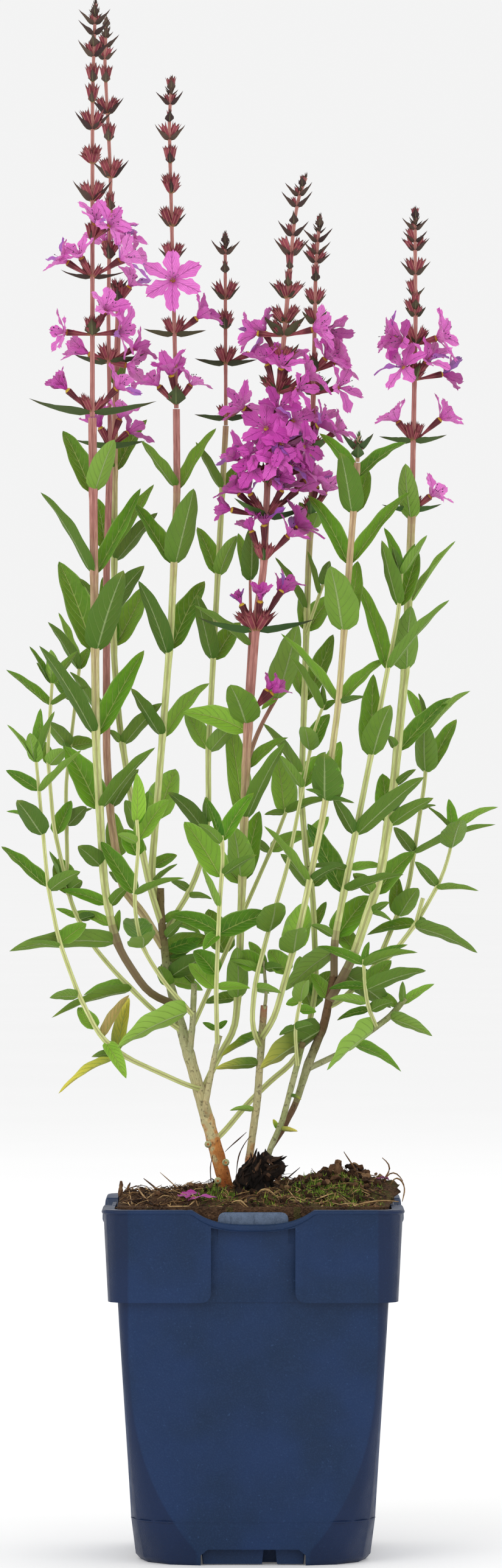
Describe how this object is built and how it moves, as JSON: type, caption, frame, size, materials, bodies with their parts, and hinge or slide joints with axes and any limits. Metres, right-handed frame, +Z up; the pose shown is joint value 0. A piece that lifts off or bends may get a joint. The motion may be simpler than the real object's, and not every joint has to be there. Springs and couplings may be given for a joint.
{
  "type": "potted robin purple loosestrife",
  "caption": "Bushy marsh perennial with square leafy stems and magenta flower spikes, in a square navy nursery pot filled with soil.",
  "frame": {"origin": "on the ground under the middle of the whole plant's bounding box, a few millimetres from the pot's own centre line", "axes": "+Z up along the stems, -Y towards the front side of the pot, +X to the right of that side"},
  "size_m": [0.2168, 0.1296, 0.6717],
  "materials": {
    "pot_plastic": "satin navy plastic with fine pale specks",
    "potting_soil": "rough damp soil with fibres, chips and moss",
    "rotten_wood": "rough black rotten wood",
    "woody_stem": "pale straw to orange-brown bark",
    "green_leaf": "matte green leaves with paler undersides",
    "flower": "soft magenta petals and maroon calyces"
  },
  "bodies": {
    "root": {"pot": "pot_plastic", "soil": "potting_soil", "old_stump": "rotten_wood", "left_crown": "woody_stem", "middle_crown": "woody_stem", "right_crown": "woody_stem", "right_stub": "woody_stem", "right_low": "woody_stem", "stem_a": "green_leaf", "stem_b": "green_leaf", "stem_c": "green_leaf", "stem_d": "green_leaf", "stem_e": "green_leaf", "stem_f": "green_leaf", "stem_g": "green_leaf", "stem_h": "green_leaf", "stem_i": "green_leaf", "stem_j": "green_leaf", "stem_k": "green_leaf", "stem_l": "green_leaf", "stem_n": "green_leaf", "stem_o": "green_leaf", "stem_p": "green_leaf", "stem_q": "green_leaf", "stem_r": "green_leaf", "stem_s": "green_leaf", "stem_t": "green_leaf", "stem_v": "green_leaf", "stem_w": "green_leaf", "spike_a": "flower", "spike_b": "flower", "spike_c": "flower", "spike_d": "flower", "spike_e": "flower", "spike_f": "flower", "spike_g": "flower", "spike_h": "flower", "spike_i": "flower"}
  },
  "joints": []
}
